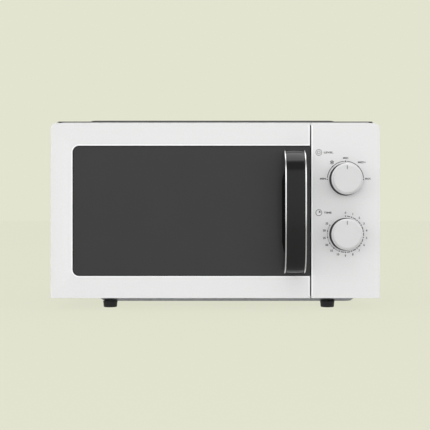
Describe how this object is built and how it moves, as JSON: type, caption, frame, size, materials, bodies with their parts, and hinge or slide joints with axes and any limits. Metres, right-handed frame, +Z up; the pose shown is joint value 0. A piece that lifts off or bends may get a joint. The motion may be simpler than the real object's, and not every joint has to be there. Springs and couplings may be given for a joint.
{
  "type": "microwave oven",
  "caption": "Countertop microwave oven: side-hinged door with a bow handle, dials for power and time, glass turntable and full working insides.",
  "frame": {"origin": "on the floor, under the middle of the oven's box, with the feet standing on the floor", "axes": "-Y out of the front, through the door; +X to the right of someone facing the front; +Z up"},
  "size_m": [0.44, 0.3652, 0.26],
  "materials": {
    "cabinet_paint": "satin silver-grey stoved paint",
    "zinc_steel": "galvanised sheet",
    "oven_enamel": "stoved oven paint",
    "white_abs": "fine spark-eroded texture",
    "knob_abs": "satin",
    "window_acrylic": "dark smoked, satin",
    "handle_black": "high gloss",
    "chrome_trim": "bright plated",
    "foot_black": "moulded",
    "inlet_black": "moulded nylon",
    "tray_glass": "clear pressed glass",
    "nylon_white": "moulded",
    "mica": "pressed mica sheet",
    "lamp_glass": "clear",
    "screw_steel": "bright zinc",
    "motor_plate": "yellow-zinc plated",
    "fin_aluminium": "rolled",
    "copper": "enamelled copper",
    "laminations": "varnished",
    "capacitor_can": "drawn can",
    "moulding_black": "moulded",
    "board_brown": "phenolic laminate",
    "fuse_ceramic": "glazed",
    "timer_grey": "moulded",
    "shaft_brass": "turned",
    "screen_paint": "black screen paint",
    "cover_grey": "moulded",
    "spring_steel": "wire"
  },
  "bodies": {
    "chassis": {"outer_cabinet": "cabinet_paint", "base_plate": "zinc_steel", "rear_panel": "zinc_steel", "front_feet": "foot_black", "rear_feet": "foot_black", "cabinet_screws": "screw_steel", "cord_inlet": "inlet_black", "oven_cavity": "oven_enamel", "waveguide": "zinc_steel", "waveguide_cover": "mica", "lamp_holder": "zinc_steel", "lamp_bulb": "lamp_glass", "turntable_motor": "motor_plate", "magnetron_yoke": "zinc_steel", "magnetron_fins": "fin_aluminium", "magnetron_antenna": "copper", "magnetron_filter_box": "zinc_steel", "transformer_core": "laminations", "transformer_windings": "copper", "capacitor": "capacitor_can", "capacitor_clamp": "zinc_steel", "diode": "moulding_black", "fan_bracket": "moulding_black", "fan_motor_core": "laminations", "fan_motor_coil": "copper", "filter_board": "board_brown", "filter_coil": "copper", "fuse": "fuse_ceramic", "thermal_cutout": "moulding_black", "latch_board": "nylon_white", "door_switches": "moulding_black", "timer_case": "timer_grey", "timer_motor": "motor_plate", "timer_bell": "screw_steel", "control_panel": "white_abs", "hinge_brackets": "zinc_steel"},
    "door": {"door_frame": "white_abs", "window_pane": "window_acrylic", "door_shield": "screen_paint", "choke_cover": "cover_grey", "handle_bar": "handle_black", "handle_trims": "chrome_trim", "handle_screws": "screw_steel", "hinge_pins": "screw_steel", "latch_spring": "spring_steel"},
    "latch": {"latch_hook": "nylon_white"},
    "power_dial": {"power_knob": "knob_abs", "power_shaft": "shaft_brass"},
    "timer_dial": {"timer_knob": "knob_abs", "timer_shaft": "shaft_brass"},
    "turntable": {"turntable_coupler": "nylon_white", "glass_tray": "tray_glass"},
    "roller_ring": {"roller_ring": "nylon_white"},
    "roller_1": {"roller_1": "nylon_white"},
    "roller_2": {"roller_2": "nylon_white"},
    "roller_3": {"roller_3": "nylon_white"},
    "fan": {"fan_blade": "nylon_white", "fan_shaft": "screw_steel"}
  },
  "joints": [
    {"name": "door_hinge", "type": "hinge", "parent": "chassis", "child": "door", "pos_m": [-0.213, -0.1286, 0.1337], "axis": [0, 0, -1], "range_deg": [0, 100]},
    {"name": "latch_slide", "type": "slide", "parent": "door", "child": "latch", "axis": [0, 0, 1], "range_m": [0, 0.004], "stiffness_N_per_m": 150, "springref_m": -0.004, "deforming": ["latch_spring"]},
    {"name": "power_turn", "type": "hinge", "parent": "chassis", "child": "power_dial", "pos_m": [0.1741, -0.1496, 0.1755], "axis": [0, 1, 0], "range_deg": [-90, 90]},
    {"name": "timer_turn", "type": "hinge", "parent": "chassis", "child": "timer_dial", "pos_m": [0.1741, -0.1496, 0.1021], "axis": [0, 1, 0], "range_deg": [0, 300]},
    {"name": "turntable_spin", "type": "hinge", "parent": "chassis", "child": "turntable", "pos_m": [-0.046, 0.0229, 0.052], "axis": [0, 0, 1], "continuous": true},
    {"name": "ring_spin", "type": "hinge", "parent": "chassis", "child": "roller_ring", "pos_m": [-0.046, 0.0229, 0.044], "axis": [0, 0, 1], "continuous": true},
    {"name": "roller_1_spin", "type": "hinge", "parent": "roller_ring", "child": "roller_1", "pos_m": [0.036, 0.0229, 0.044], "axis": [1, 0, 0], "continuous": true},
    {"name": "roller_2_spin", "type": "hinge", "parent": "roller_ring", "child": "roller_2", "pos_m": [-0.087, 0.09391, 0.044], "axis": [-0.5, 0.866, 0], "continuous": true},
    {"name": "roller_3_spin", "type": "hinge", "parent": "roller_ring", "child": "roller_3", "pos_m": [-0.087, -0.04811, 0.044], "axis": [-0.5, -0.866, 0], "continuous": true},
    {"name": "fan_spin", "type": "hinge", "parent": "chassis", "child": "fan", "pos_m": [0.165, 0.1544, 0.1722], "axis": [0, 1, 0], "continuous": true}
  ],
  "couplings": [
    {"joint": "ring_spin", "follows": "turntable_spin", "ratio": 0.5},
    {"joint": "roller_1_spin", "follows": "turntable_spin", "ratio": -5.4667},
    {"joint": "roller_2_spin", "follows": "turntable_spin", "ratio": -5.4667},
    {"joint": "roller_3_spin", "follows": "turntable_spin", "ratio": -5.4667}
  ]
}
